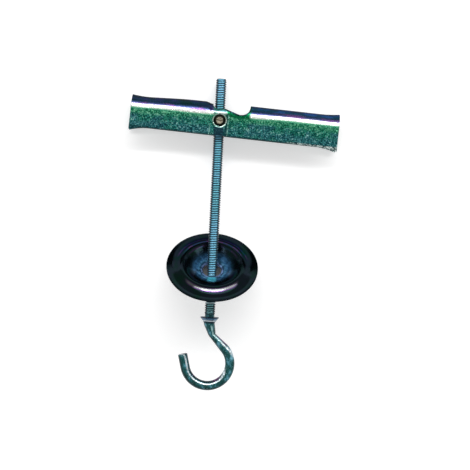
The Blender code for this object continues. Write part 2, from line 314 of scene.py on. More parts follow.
def collar_levels():
    """(distance below the collar's top, radius) of the shank's foot, the collar and its foot."""
    rim = COLLAR_D / 2
    foot = COLLAR_FOOT_D / 2
    low = COLLAR_RIM + COLLAR_TAPER
    return [
        (-0.35 * MM, SHANK_D / 2), (-0.1 * MM, SHANK_D / 2 + 0.07 * MM), (0.0, SHANK_D / 2 + 0.3 * MM),
        (0.0, rim - 0.3 * MM), (0.05 * MM, rim - 0.1 * MM), (0.16 * MM, rim - 0.01 * MM),
        (0.3 * MM, rim), (0.44 * MM, rim - 0.05 * MM), (COLLAR_RIM + 0.08 * MM, rim - 0.22 * MM),
        (low - 0.15 * MM, foot + 0.2 * MM), (low, foot + 0.03 * MM), (low + 0.12 * MM, foot),
        (low + COLLAR_FOOT - 0.15 * MM, foot), (low + COLLAR_FOOT - 0.03 * MM, foot - 0.08 * MM),
        (low + COLLAR_FOOT, foot - 0.2 * MM), (low + COLLAR_FOOT, NECK_D / 2),
    ]


def level_ring(y, radii):
    """A ring of points about the rod at one height, with a radius for each of its sides."""
    return [Vector((-r * math.cos(a), y, r * math.sin(a))) for a, r in zip(ROD_ANGLES, radii)]


def rod_rings():
    """Rings of points from the rod's free end down to the foot of the collar."""
    runout_top = THREAD_RUNOUT - PIVOT_TO_COLLAR
    runout_end = runout_top - (THREAD_D - SHANK_D)
    top = ROD_BEYOND_PIVOT
    count = math.ceil((top - runout_end) * RINGS_PER_TURN / THREAD_PITCH)
    rings = []
    for i in range(count + 1):
        y = top - (top - runout_end) * i / count
        chamfered = THREAD_D / 2 - ROD_END_CHAMFER + (top - y)
        above_shank = (THREAD_D - SHANK_D) / 2 * smooth((y - runout_end) / SHANK_STEP)
        crest = min(THREAD_D / 2, chamfered, SHANK_D / 2 + above_shank)
        faded = smooth((y - runout_end) / THREAD_FADE)
        dips = [thread_dip(y, side - math.pi / 2) * faded for side in ROD_ANGLES]
        rings.append(level_ring(y, [min(crest, THREAD_D / 2 - dip) for dip in dips]))
    for below, radius in collar_levels():
        rings.append(level_ring(-PIVOT_TO_COLLAR - below, [radius] * ROD_SIDES))
    return rings


def hook_path():
    """The hook's centre line from the neck's first bend to the tip, and how many points the neck has."""
    collar_height = COLLAR_RIM + COLLAR_TAPER + COLLAR_FOOT
    centre = Vector((0, -PIVOT_TO_COLLAR - HOOK_BELOW_COLLAR, 0))
    down = Vector((0, -1, 0))
    leaning = Vector((math.sin(NECK_LEAN), -math.cos(NECK_LEAN), 0))
    ring = arc(centre, HOOK_R, HOOK_START, HOOK_END)
    ring_start, into_ring = ring[0]
    neck_top = Vector((0, -PIVOT_TO_COLLAR - collar_height - NECK_BELOW_COLLAR, 0))
    reach = (neck_top - ring_start).cross(into_ring).z / into_ring.cross(leaning).z
    path = bend(neck_top, down, leaning, NECK_BEND_R)
    path += bend(neck_top + leaning * reach, leaning, into_ring, KINK_BEND_R)
    neck_points = len(path)
    path += ring
    ring_end, out_of_ring = ring[-1]
    for t in HOOK_TIP_STATIONS:
        path.append((ring_end + out_of_ring * HOOK_TIP_LENGTH * t, out_of_ring))
    return path, neck_points


def hook_rings():
    """Rings round the hook's centre line, pinched at the kink, with a chamfered, slightly domed tip."""
    path, neck_points = hook_path()
    kink = path[neck_points - 1][0]
    stations = []
    for i, (point, direction) in enumerate(path):
        drawn = smooth(i / neck_points)
        pinch = KINK_PINCH * smooth(1 - (point - kink).length / KINK_PINCH_LENGTH)
        stations.append((point, direction, (NECK_D + (SHANK_D - NECK_D) * drawn) / 2, 1 - pinch))
    ring_end, out = path[-1 - len(HOOK_TIP_STATIONS)]
    tip = ring_end + out * HOOK_TIP_LENGTH
    for back, inset in HOOK_TIP_EDGE:
        stations.append((tip - out * back * MM, out, SHANK_D / 2 - inset * MM, 1.0))
    rings = []
    for point, direction, radius, narrowed in stations:
        across = Vector((direction.y, -direction.x, 0)) * narrowed
        spokes = [across * math.cos(side) + Vector((0, 0, math.sin(side))) for side in ROD_ANGLES]
        rings.append([point + spoke * radius for spoke in spokes])
    return rings


def add_hook_bolt(frame):
    rings = rod_rings() + hook_rings()
    points = [p for ring in rings for p in ring]
    mesh = new_mesh("threaded_hook_bolt", points, tube_faces(len(rings), ROD_SIDES))
    return dress("threaded_hook_bolt", mesh, frame, "bolt", "hook_bolt")


def washer_face():
    """(radius, height) of the face towards the bar, from the hole out to the rim."""
    corners = [Vector(corner) for corner in (
        (WASHER_HOLE_D / 2, WASHER_SEAT_HEIGHT),
        (WASHER_SEAT_D / 2, WASHER_SEAT_HEIGHT),
        (WASHER_STEP_D / 2, WASHER_STEP_HEIGHT),
        (WASHER_BEAD_D / 2, WASHER_BEAD_HEIGHT),
        (WASHER_D / 2 - WASHER_RIM_WIDTH, 0.0),
        (WASHER_D / 2, 0.0),
    )]
    points = [corners[0], corners[0].lerp(corners[1], 0.25)]
    for before, corner, after in zip(corners, corners[1:], corners[2:]):
        start = before.lerp(corner, 0.5)
        end = corner.lerp(after, 0.5)
        for i in range(WASHER_CURVE_STEPS):
            t = i / WASHER_CURVE_STEPS
            points.append(start.lerp(corner, t).lerp(corner.lerp(end, t), t))
    points += [corners[-2].lerp(corners[-1], t) for t in (0.5, 0.8)]
    return points + [corners[-1]]


def washer_outline():
    """The sheet's closed section: the face, a rounded rim, the underside and a rounded hole edge."""
    face = washer_face()
    under = []
    for i, point in enumerate(face):
        along = (face[min(i + 1, len(face) - 1)] - face[max(i - 1, 0)]).normalized()
        under.append(point + Vector((along.y, -along.x)) * WASHER_SHEET)
    outline = []
    for ends, side in ((face, 1), (under[::-1], -1)):
        first, last = ends[0], ends[-1]
        into = Vector((side * EDGE_ROUND, 0))
        down = Vector((0, -side * EDGE_ROUND))
        outline += [first + down, first + down * 0.3 + into * 0.3, first + into]
        outline += ends[1:-1]
        outline += [last - into, last - into * 0.3 + down * 0.3, last + down]
    return outline


def add_cover_washer(frame):
    middle = WASHER_SEAT_HEIGHT - WASHER_SHEET / 2
    section = washer_outline()
    points = []
    for i in range(WASHER_SIDES):
        angle = math.tau * i / WASHER_SIDES
        for p in section:
            points.append((p.x * math.cos(angle), p.x * math.sin(angle), p.y - middle))
    count = len(section)
    faces = []
    for i in range(WASHER_SIDES):
        j = (i + 1) % WASHER_SIDES
        for k in range(count):
            n = (k + 1) % count
            faces.append((i * count + k, i * count + n, j * count + n, j * count + k))
    mesh = new_mesh("dished_washer", points, faces)
    return dress("dished_washer", mesh, frame, "washer", "cover_washer")


def pad_half_width():
    return BAR_WIDTH / 2 + PAD_RISE


def pad_half_length():
    return BARREL_D / 2 + GAP + PAD_RAMP


def turned(stations):
    """Points and faces of a turned shape about Z from (height, radius) stations."""
    points = []
    for height, radius in stations:
        points += [(radius * math.cos(angle), radius * math.sin(angle), height) for angle in ROD_ANGLES]
    return points, tube_faces(len(stations), ROD_SIDES)


def both_ends(upper):
    """Stations that mirror the upper half of a shape below its middle."""
    return [(-height, radius) for height, radius in reversed(upper)] + upper


def cutter(name, points, faces):
    """An object that only cuts, taken out again once the cut is applied."""
    mesh = new_mesh(name, points, faces)
    face_outward(mesh)
    return add_object(name, mesh)


def finished_mesh(mesh, cutters, sheet=0.0, bevel=0.0):
    """The mesh, given a sheet's thickness where it is a surface, then cut and bevelled."""
    base = add_object("base", mesh)
    if sheet:
        solid = base.modifiers.new("sheet", "SOLIDIFY")
        solid.thickness = sheet
        solid.offset = -1
        solid.use_even_offset = True
    for tool in cutters:
        cut = base.modifiers.new(tool.name, "BOOLEAN")
        cut.operation = "DIFFERENCE"
        cut.solver = "MANIFOLD"
        cut.object = tool
    if bevel:
        edge = base.modifiers.new("edges", "BEVEL")
        edge.width = bevel
        edge.segments = BEVEL_SEGMENTS
        edge.limit_method = "ANGLE"
        edge.angle_limit = BEVEL_ANGLE
    depsgraph = bpy.context.evaluated_depsgraph_get()
    result = bpy.data.meshes.new_from_object(base.evaluated_get(depsgraph))
    for obj in [base, *cutters]:
        bpy.data.objects.remove(obj, do_unlink=True)
    return result


def add_trunnion_nut(frame):
    """The turned nut, with a parting-off dimple in each trunnion's end."""
    shoulder = pad_half_width() - BAR_SHEET - BARREL_END_GAP
    end = pad_half_width() - TRUNNION_BELOW_FLANGE
    tip = TRUNNION_D / 2 - TRUNNION_CHAMFER
    upper = [
        (shoulder - BARREL_CHAMFER, BARREL_D / 2),
        (shoulder, BARREL_D / 2 - BARREL_CHAMFER),
        (shoulder, TRUNNION_D / 2 + 0.1 * MM),
        (shoulder + 0.1 * MM, TRUNNION_D / 2),
        (end - TRUNNION_CHAMFER, TRUNNION_D / 2),
        (end - 0.1 * MM, tip + 0.1 * MM),
        (end, tip - 0.08 * MM),
        (end - 0.02 * MM, 0.62 * tip),
        (end - 0.1 * MM, 0.4 * tip),
        (end - 0.16 * MM, 0.15 * tip),
    ]
    mesh = new_mesh("nut", *turned(both_ends(upper)))
    upright, faces = turned([(-BARREL_D, THREAD_D / 2 + GAP), (BARREL_D, THREAD_D / 2 + GAP)])
    hole = cutter("rod_hole", [(x, z, -y) for x, y, z in upright], faces)
    mesh = finished_mesh(mesh, [hole])
    return dress("turned_nut", mesh, frame, "nut", "trunnion_nut")


def flare_at(x):
    """How much the bar's ends flare, from 0 to 1 at either end."""
    from_end = min(x + BAR_SHORT_ARM, BAR_LONG_ARM - x)
    return max(0.0, 1 - from_end / FLARE_LENGTH) ** 2


def pad_at(x):
    """How much the flanges stand out at the pad round the pivot, from 0 to 1."""
    return smooth((pad_half_length() - abs(x)) / PAD_RAMP)


def sag_at(x):
    """How much the back sags beside the slot on the short arm, from 0 to 1."""
    return smooth((x + SLOT_SHORT_SIDE + SAG_LENGTH) / SAG_LENGTH) if x < 0 else 0.0


def drop_at(x):
    """How much the back drops along the short arm, from 0 to 1 at its end."""
    return smooth((DROP_LENGTH - BAR_SHORT_ARM - x) / DROP_LENGTH)


def bar_section(x):
    """The outer (y, z) outline at a place along the bar, from one free edge round to the other."""
    half = BAR_WIDTH / 2
    round_centre = PIVOT_TO_BACK - half - DROP_DEPTH * drop_at(x)
    rise = FLARE_RISE * flare_at(x)
    swell = PAD_RISE * pad_at(x)
    flange = []
    for i in range(FLANGE_STEPS):
        t = 1 - i / FLANGE_STEPS
        y = round_centre - t * (PIVOT_TO_EDGE + round_centre)
        flange.append((y - t * FLARE_EDGE_DROP * flare_at(x), half + rise + swell))
    points = list(flange)
    for i in range(BACK_SEGMENTS + 1):
        angle = math.pi * i / BACK_SEGMENTS
        outward = Vector((math.sin(angle), math.cos(angle)))
        sunk = SAG_DEPTH * sag_at(x) * outward.x
        side = math.copysign(swell * outward.y ** 2, outward.y)
        points.append((
            round_centre + outward.x * (half + rise) - sunk,
            outward.y * (half + rise) + side,
        ))
    points += [(y, -z) for y, z in reversed(flange)]
    return points


def bar_stations():
    """Evenly spaced places along the bar, closer together on the ramps of the pad."""
    count = 1 + int((BAR_SHORT_ARM + BAR_LONG_ARM) / BAR_STEP)
    places = [-BAR_SHORT_ARM + i * BAR_STEP for i in range(count)]
    pad = pad_half_length()
    places = [x for x in places if not pad - PAD_RAMP - PAD_MARGIN < abs(x) < pad + PAD_MARGIN]
    for i in range(PAD_STEPS + 1):
        offset = pad - PAD_RAMP * i / PAD_STEPS
        places += [-offset, offset]
    places = sorted(places)
    if BAR_LONG_ARM - places[-1] < LEAST_STEP:
        places.pop()
    return places + [BAR_LONG_ARM]


def slot_cutter():
    """The slot through the back: an uneven floor at the rod and a round scallop beyond."""
    top = PIVOT_TO_BACK + FLARE_RISE + BAR_SHEET
    floor_end = Vector((*SLOT_RIGHT_LIP, 0))
    centre = Vector((SCALLOP_FROM_PIVOT, SCALLOP_FLOOR + SCALLOP_R, 0))
    to_centre = centre - floor_end
    slope = math.atan2(to_centre.y, to_centre.x) - math.asin(SCALLOP_R / to_centre.length)
    outline = [(-SLOT_SHORT_SIDE, top), (-SLOT_SHORT_SIDE, SLOT_LEFT_LIP)]
    outline += [SLOT_LOWEST, SLOT_FLOOR, SLOT_RIGHT_LIP]
    outline += [(p.x, p.y) for p, _ in arc(centre, SCALLOP_R, slope - math.pi / 2, 0.0)]
    outline.append((SCALLOP_FROM_PIVOT + SCALLOP_R, top))
    points = [(x, y, z) for z in (-BAR_WIDTH, BAR_WIDTH) for x, y in outline]
    return cutter("slot", points, tube_faces(2, len(outline)))


def pivot_hole_cutter():
    """The two pivot holes, each with a shallow rolled rim that catches the light."""
    radius = TRUNNION_D / 2 + TRUNNION_GAP
    face = pad_half_width()
    upper = [
        (face - HOLE_RIM_DEPTH, radius),
        (face, radius + HOLE_RIM_WIDTH),
        (face + BAR_SHEET, radius + HOLE_RIM_WIDTH + 0.1 * MM),
    ]
    return cutter("pivot_holes", *turned(both_ends(upper)))


def add_toggle_bar(frame):
    sections = [[(x, y, z) for y, z in bar_section(x)] for x in bar_stations()]
    count = len(sections[0])
    points = [p for section in sections for p in section]
    faces = []
    for s in range(len(sections) - 1):
        for k in range(count - 1):
            low = s * count + k
            faces.append((low, low + 1, low + count + 1, low + count))
    mesh = new_mesh("bar_sheet", points, faces)
    if mesh.polygons[0].normal.z < 0:
        mesh.flip_normals()
    mesh = finished_mesh(mesh, [slot_cutter(), pivot_hole_cutter()], BAR_SHEET, EDGE_ROUND)
    return dress("folded_bar", mesh, frame, "bar", "toggle_bar")


# Materials


def srgb(red, green, blue):
    """A linear colour from 0-255 sRGB values."""
    def linear(value):
        value /= 255
        return value / 12.92 if value <= 0.04045 else ((value + 0.055) / 1.055) ** 2.4
    return (linear(red), linear(green), linear(blue), 1.0)


class Nodes:
    """A material's nodes, and short ways to add to them."""

    def __init__(self, name):
        self.material = bpy.data.materials.new(name)
        self.material.use_nodes = True
        self.nodes = self.material.node_tree.nodes
        self.links = self.material.node_tree.links

    def feed(self, socket, value):
        if isinstance(value, bpy.types.NodeSocket):
            self.links.new(value, socket)
        else:
            socket.default_value = value

    def add(self, kind, **inputs):
        node = self.nodes.new("ShaderNode" + kind)
        for name, value in inputs.items():
            self.feed(node.inputs[name.replace("_", " ")], value)
        return node

    def math(self, operation, *values):
        node = self.add("Math")
        node.operation = operation
        for socket, value in zip(node.inputs, values):
            self.feed(socket, value)
        return node.outputs["Value"]

    def product(self, first, *others):
        for value in others:
            first = self.math("MULTIPLY", first, value)
        return first

    def squares(self, across, along):
        return self.math("ADD", self.product(across, across), self.product(along, along))

    def length(self, across, along):
        return self.math("SQRT", self.squares(across, along))

    def band(self, value, low, high, before=0.0, after=1.0):
        """A smooth step of a value from before to after between low and high."""
        node = self.add("MapRange", Value=value, From_Min=low, From_Max=high, To_Min=before, To_Max=after)
        node.interpolation_type = "SMOOTHSTEP"
        return node.outputs["Result"]

    def between(self, value, rise, fall):
        """1 between a rise and a fall, each a pair of limits for band."""
        return self.product(self.band(value, *rise), self.band(value, *fall))

    def mix(self, factor, first, second):
        node = self.add("Mix")
        node.data_type = "RGBA"
        for socket, value in zip((node.inputs[0], node.inputs[6], node.inputs[7]), (factor, first, second)):
            self.feed(socket, value)
        return node.outputs[2]

    def layers(self, colour, coats):
        """A colour with coats laid on it in turn, each a factor and an sRGB colour or a ramp."""
        for factor, coat in coats:
            colour = self.mix(factor, colour, srgb(*coat) if isinstance(coat, tuple) else coat)
        return colour


class Graph(Nodes):
    """A piece's material, with coordinates in millimetres in the piece's own frame."""

    def __init__(self, name, frame):
        super().__init__(name)
        self.shader = self.nodes["Principled BSDF"]
        self.rotation = frame.to_euler()
        source = self.add("TexCoord")
        self.normal = source.outputs["Normal"]
        middle = frame.to_translation()
        place = self.add("Mapping", Location=middle, Rotation=self.rotation, Scale=(MM, MM, MM))
        place.vector_type = "TEXTURE"
        self.feed(place.inputs["Vector"], source.outputs["Object"])
        self.coords = place.outputs["Vector"]
        self.x, self.y, self.z = self.add("SeparateXYZ", Vector=self.coords).outputs

    def facing(self):
        """The X and Y of the surface's direction in the piece's own frame."""
        turn = self.add("VectorRotate")
        turn.rotation_type = "EULER_XYZ"
        turn.invert = True
        turn.inputs["Rotation"].default_value = self.rotation
        self.feed(turn.inputs["Vector"], self.normal)
        parts = self.add("SeparateXYZ", Vector=turn.outputs["Vector"]).outputs
        return parts["X"], parts["Y"]

    def noise(self, scale, detail=3.0, roughness=0.55, stretch=(1, 1, 1), seed=0.0):
        """Noise from 0 to 1; scale is in features per millimetre."""
        apart = (seed, seed * 1.7, seed * 0.6)
        place = self.add("Mapping", Vector=self.coords, Location=apart, Scale=stretch)
        node = self.add("TexNoise", Scale=scale, Detail=detail, Roughness=roughness)
        self.feed(node.inputs["Vector"], place.outputs["Vector"])
        return node.outputs["Fac"]

    def ramp(self, value, stops):
        """A colour ramp from (position, sRGB colour) stops."""
        node = self.add("ValToRGB", Fac=value)
        elements = node.color_ramp.elements
        while len(elements) < len(stops):
            elements.new(0.5)
        for element, (position, colour) in zip(elements, stops):
            element.position = position
            element.color = srgb(*colour)
        return node.outputs["Color"]

    def bump(self, height, distance, strength):
        return self.add("Bump", Height=height, Distance=distance, Strength=strength).outputs["Normal"]

    def finish(self, piece, **sockets):
        for name, value in sockets.items():
            self.feed(self.shader.inputs[name.replace("_", " ")], value)
        piece.data.materials.clear()
        piece.data.materials.append(self.material)


def thread_colour(g, patches):
    """Painted highlight on the crests and painted shade in the roots, painted shade down the rod's sides,
    greener below the washer, and a painted glint line above the collar.
    """
    # Crests painted bright and roots painted dark: a painted highlight and painted shade of the thread
    crest = g.band(g.length(g.x, g.z), 2.16, 2.375)
    crest_blue = g.ramp(patches, [(0.3, (142, 206, 240)), (0.5, (124, 196, 226)), (0.68, (108, 188, 206))])
    root_blue = g.ramp(patches, [(0.3, (8, 34, 62)), (0.5, (14, 50, 74)), (0.68, (10, 54, 64))])
    return g.layers(g.mix(crest, root_blue, crest_blue), [
        (g.band(g.y, -70.0, -76.0), g.mix(crest, srgb(14, 56, 64), srgb(132, 192, 198))),
        # painted shade down the rod's sides
        (g.band(g.math("ABSOLUTE", g.x), 0.95, 1.75, 0.0, 0.96), (4, 26, 40)),
        # a painted glint line across the rod
        (g.between(g.y, (-83.5, -83.2), (-82.7, -83.0)), (190, 214, 220)),
    ])


def hook_coats(g, facing_x, facing_y, patches, patchy):
    """Coats on the hook: a painted highlight along its upper side, painted shade along its upper outside,
    purple in patches, and painted shade on its underside.
    """
    on_hook = g.band(g.y, -96.5, -99.0)
    leg = g.band(g.x, -3.0, -8.0, 0.0, 0.6)
    upward = g.math("MULTIPLY_ADD", facing_x, leg, facing_y)
    # painted highlight where the wire faces up, towards the light
    bright_band = g.between(upward, (0.17, 0.3), (0.54, 0.42))
    # painted shade along the wire's upper outside
    outer = g.band(upward, 0.52, 0.66)
    # painted shade on the wire's underside
    under = g.band(upward, -0.35, -0.75, 0.0, 0.8)
    # painted shade, purple in patches, on the upward-facing rim
    purple = g.product(g.band(facing_y, 0.52, 0.62), g.band(patches, 0.42, 0.5))
    return [
        (g.product(bright_band, on_hook, patchy), (222, 232, 238)),
        (g.product(outer, on_hook), (16, 44, 52)),
        (g.product(under, on_hook), (12, 44, 46)),
        (g.product(purple, on_hook), (84, 34, 84)),
    ]


def neck_coats(g, facing_x, patchy):
    """Coats on the neck: a painted highlight on one side and painted shade on the other."""
    neck = g.between(g.y, (-93.0, -94.0), (-101.5, -100.0))
    # painted highlight on the side that faces the light
    highlit_side = g.between(facing_x, (0.1, 0.3), (0.62, 0.5))
    # painted shade on the other side
    shaded_side = g.band(facing_x, -0.45, -0.7)
    return [
        (g.product(neck, highlit_side, patchy), (176, 216, 216)),
        (g.product(neck, shaded_side, 0.7), (12, 44, 44)),
    ]


def collar_coat(g, fleck):
    """The coat on the collar, with a colour for each level from its top to its foot: painted highlights on
    the cone and its lower edge, painted shade between and below them.
    """
    level = g.math("DIVIDE", g.math("SUBTRACT", -89.5, g.y), 3.5)
    # painted highlights and painted shade, level by level
    colours = g.ramp(level, [
        (0.0, (24, 40, 66)), (0.14, (24, 38, 64)), (0.22, (60, 98, 136)), (0.32, (120, 158, 188)),
        (0.41, (40, 66, 98)), (0.49, (228, 238, 246)), (0.56, (228, 238, 246)), (0.62, (12, 32, 50)),
        (0.82, (14, 42, 52)), (0.95, (36, 92, 90)),
    ])
    on_collar = g.between(g.y, (-89.3, -89.6), (-92.9, -92.5))
    return g.product(on_collar, g.band(fleck, 0.62, 0.5, 0.45, 1.0)), colours


def paint_bolt(piece, frame):
    g = Graph("bright_zinc_bolt", frame)
    patches = g.noise(0.11, 2.0, seed=3)
    patchy = g.band(g.noise(0.9, 3.0, 0.6, seed=21), 0.62, 0.44, 0.45, 1.0)
    fleck = g.noise(1.6, 3.0, 0.65, seed=9)
    facing_x, facing_y = g.facing()
    hook = g.ramp(g.noise(0.42, 4.0, 0.62, stretch=(1, 0.6, 1)), [
        (0.28, (10, 46, 50)), (0.42, (20, 72, 68)), (0.52, (30, 88, 90)),
        (0.6, (74, 138, 152)), (0.7, (136, 190, 208)),
    ])
    colour = g.mix(g.band(g.y, -88.0, -89.4), thread_colour(g, patches), hook)
    coats = hook_coats(g, facing_x, facing_y, patches, patchy) + neck_coats(g, facing_x, patchy)
    coats += [
        (g.band(fleck, 0.56, 0.72, 0.0, 0.5), (16, 44, 54)),
        (g.band(fleck, 0.42, 0.3, 0.0, 0.45), (170, 214, 220)),
        collar_coat(g, fleck),
    ]
    relief = g.noise(2.2, 3.0, 0.6, stretch=(1, 0.4, 1), seed=7)
    g.finish(
        piece,
        Base_Color=g.layers(colour, coats),
        Metallic=g.band(g.y, -90.0, -94.0, 0.35, 0.45),
        Roughness=g.band(g.noise(1.4, 3.0, seed=5), 0.3, 0.7, 0.24, 0.38),
        Specular_Tint=(0.16, 0.26, 0.34, 1),
        Coat_Weight=0.25,
        Coat_IOR=1.5,
        Coat_Roughness=0.16,
        Normal=g.bump(relief, 0.03 * MM, 0.5),
    )


def ring_reflection_coats(g, radius, wander):
    """Thin tinted rings painted on the upper part of the washer as faint reflections, each (radius,
    strength), that wander a little.
    """
    tint = g.ramp(wander, [
        (0.36, (30, 78, 84)), (0.46, (44, 58, 96)), (0.54, (92, 50, 104)), (0.66, (34, 72, 88)),
    ])
    upper = g.band(g.y, 3.0, 8.0)
    coats = []
    # faint painted reflections on the slopes
    for middle, strength in ((16.4, 0.5), (14.4, 0.75), (12.2, 0.4)):
        line = g.math("MULTIPLY_ADD", wander, 0.8, middle - 0.4)
        from_line = g.math("ABSOLUTE", g.math("SUBTRACT", radius, line))
        coats.append((g.product(g.band(from_line, 0.55, 0.1), upper, strength), tint))
    return coats


def crescent_highlight_coats(g, radius, from_middle):
    """A painted highlight on the washer's outer slope, on the side towards the hook: a purple arc with a grey
    core, over the key strip's real highlight there.
    """
    low = g.product(g.band(g.y, -6.0, -9.0), g.band(from_middle, 12.5, 9.5))
    # painted highlight, lit for real by the key strip as well
    crescent = g.between(radius, (14.7, 15.1), (16.7, 16.2))
    highlight_core = g.between(radius, (15.1, 15.3), (16.2, 15.95))
    return [(g.product(crescent, low), (70, 46, 86)), (g.product(highlight_core, low), (92, 94, 94))]


def bowl_colour(g, radius):
    """The blue of the washer's bowl, ringed from the hole outward, streaked dark, and with pale streaks
    painted as reflections near the hole.
    """
    rings = g.ramp(g.math("DIVIDE", radius, 10.0), [
        (0.43, (58, 80, 130)), (0.48, (130, 156, 206)), (0.53, (44, 84, 120)), (0.6, (84, 144, 184)),
        (0.68, (64, 118, 164)), (0.76, (46, 86, 122)), (0.84, (52, 96, 134)), (0.95, (30, 58, 78)),
    ])
    streaks = g.noise(0.5, 3.0, 0.6, seed=12)
    # painted reflections: pale streaks near the hole
    pale = g.product(g.band(streaks, 0.46, 0.34), g.band(radius, 8.2, 6.4, 0.0, 0.6))
    return g.layers(rings, [
        (g.band(streaks, 0.4, 0.62, 0.0, 0.8), (20, 48, 68)),
        (pale, (108, 158, 196)),
    ])


def paint_washer(piece, frame):
    g = Graph("black_glossy_washer", frame)
    radius = g.length(g.x, g.y)
    from_middle = g.math("ABSOLUTE", g.x)
    wander = g.noise(0.16, 2.0, seed=4)
    speck = g.noise(1.5, 4.0, 0.7, seed=2)
    in_bowl = g.band(radius, 11.0, 7.8)
    # painted reflection of the rod in the bowl below it
    rod_reflection = g.product(g.band(from_middle, 2.7, 1.2), g.between(g.y, (-4.0, -5.0), (-9.6, -8.4)))
    dark = g.ramp(g.noise(0.2, 3.0, 0.6), [
        (0.3, (14, 40, 30)), (0.46, (22, 36, 38)), (0.6, (28, 34, 44)), (0.75, (16, 44, 36)),
    ])
    coats = ring_reflection_coats(g, radius, wander) + crescent_highlight_coats(g, radius, from_middle)
    coats += [
        (in_bowl, bowl_colour(g, radius)),
        (g.product(rod_reflection, 0.9), (70, 168, 184)),
        (g.band(speck, 0.58, 0.74, 0.0, 0.35), (40, 66, 62)),
        (g.band(speck, 0.4, 0.28, 0.0, 0.5), (10, 18, 24)),
    ]
    turning_marks = g.product(g.math("SINE", g.product(radius, 9.0)), 0.1)
    ripple = g.math("ADD", turning_marks, g.noise(0.5, 2.0, seed=8))
    g.finish(
        piece,
        Base_Color=g.layers(dark, coats),
        Metallic=g.math("MULTIPLY_ADD", in_bowl, -0.5, 0.95),
        Roughness=g.band(g.noise(0.6, 4.0, 0.6, seed=6), 0.3, 0.75, 0.08, 0.15),
        Specular_Tint=(0.25, 0.3, 0.35, 1),
        Normal=g.bump(ripple, 0.015 * MM, 0.3),
    )


def paint_nut(piece, frame):
    g = Graph("turned_brass", frame)
    radius = g.length(g.x, g.y)
    grain = g.noise(1.3, 4.0, 0.7, stretch=(0.6, 1.5, 1), seed=1)
    brass = g.ramp(grain, [
        (0.34, (60, 54, 38)), (0.45, (104, 96, 78)), (0.55, (150, 142, 122)), (0.66, (226, 224, 210)),
    ])
    from_score = g.math("ABSOLUTE", g.math("ADD", g.y, g.product(g.x, 0.15)))
    colour = g.layers(brass, [
        (g.band(from_score, 0.34, 0.16, 0.0, 0.7), (44, 40, 26)),
        # painted shade: dark round the middle of each trunnion's end, for the shaded gap round it
        (g.band(radius, 1.35, 1.7), (20, 26, 18)),
    ])
    turning_marks = g.product(g.math("SINE", g.product(radius, 20.0)), 0.2)
    relief = g.bump(g.math("ADD", turning_marks, grain), 0.12 * MM, 0.7)
    g.finish(piece, Base_Color=colour, Metallic=0.75, Roughness=0.4, Normal=relief)


def flange_colour(g, height, grain):
    """The mottled green and blue-green of the flanges, brighter next to the bend."""
    broad = g.noise(0.2, 3.0, 0.6, seed=2)
    green = g.ramp(grain, [
        (0.34, (0, 42, 42)), (0.43, (8, 80, 68)), (0.5, (26, 118, 98)),
        (0.58, (60, 150, 128)), (0.68, (184, 226, 208)),
    ])
    bluish = g.ramp(grain, [
        (0.34, (8, 36, 54)), (0.43, (20, 72, 82)), (0.5, (36, 104, 106)),
        (0.58, (68, 138, 142)), (0.68, (180, 218, 216)),
    ])
    brighter = g.ramp(grain, [(0.34, (0, 76, 52)), (0.49, (24, 136, 96)), (0.66, (150, 220, 176))])
    lower = g.product(g.band(height, -4.0, -7.0), g.band(broad, 0.3, 0.5, 0.4, 1.0))
    near_bend = g.product(g.band(height, -3.6, -1.2), g.band(broad, 0.3, 0.7, 0.6, 1.0))
    flange = g.mix(g.math("MAXIMUM", g.band(broad, 0.42, 0.64), lower), green, bluish)
    return g.mix(near_bend, flange, brighter)


def bend_highlight_and_shade(g, wander, streak):
    """Bands round the bend: a painted highlight, white with pale green and lavender edges, over the key
    strip's real highlight, then painted shade in navy over the back's top, and what differs near the slot.
    """
    highlight_and_shade_bands = g.ramp(g.math("DIVIDE", wander, 5.5), [
        (0.0, (54, 156, 120)), (0.06, (104, 188, 150)), (0.12, (184, 222, 196)), (0.18, (240, 246, 238)),
        (0.34, (250, 244, 250)), (0.4, (176, 170, 198)), (0.46, (96, 102, 146)), (0.53, (58, 72, 118)),
        (0.62, (34, 56, 90)), (0.74, (30, 56, 66)), (0.86, (22, 50, 34)), (1.0, (18, 48, 24)),
    ])
    # painted shade in navy over the back's top, on each arm
    long_navy = g.ramp(streak, [(0.36, (4, 44, 56)), (0.5, (12, 54, 80)), (0.62, (32, 68, 124))])
    short_navy = g.ramp(streak, [(0.36, (8, 38, 42)), (0.5, (18, 42, 70)), (0.62, (48, 38, 92))])
    # purple streaks over the upper part of the painted highlight and shade bands
    purple = g.product(g.band(streak, 0.5, 0.62, 0.0, 0.6), g.between(wander, (1.6, 2.4), (4.2, 3.0)))
    on_long = g.product(g.band(g.x, 8.0, 18.0, 0.0, 0.85), g.band(wander, 3.4, 4.4))
    on_short = g.product(g.band(g.x, -1.0, -3.0), g.band(wander, 3.4, 4.4, 0.0, 0.8))
    over_pad = g.product(g.band(streak, 0.36, 0.56, 0.35, 0.9), g.between(g.x, (-3.6, -2.8), (3.4, 3.0)))
    beside_slot = g.between(g.x, (2.6, 3.4), (14.6, 13.0))
    return g.layers(highlight_and_shade_bands, [
        (purple, (128, 74, 140)),
        (on_long, long_navy),
        (on_short, short_navy),
        (over_pad, (44, 116, 102)),
        (beside_slot, (8, 104, 62)),
    ])


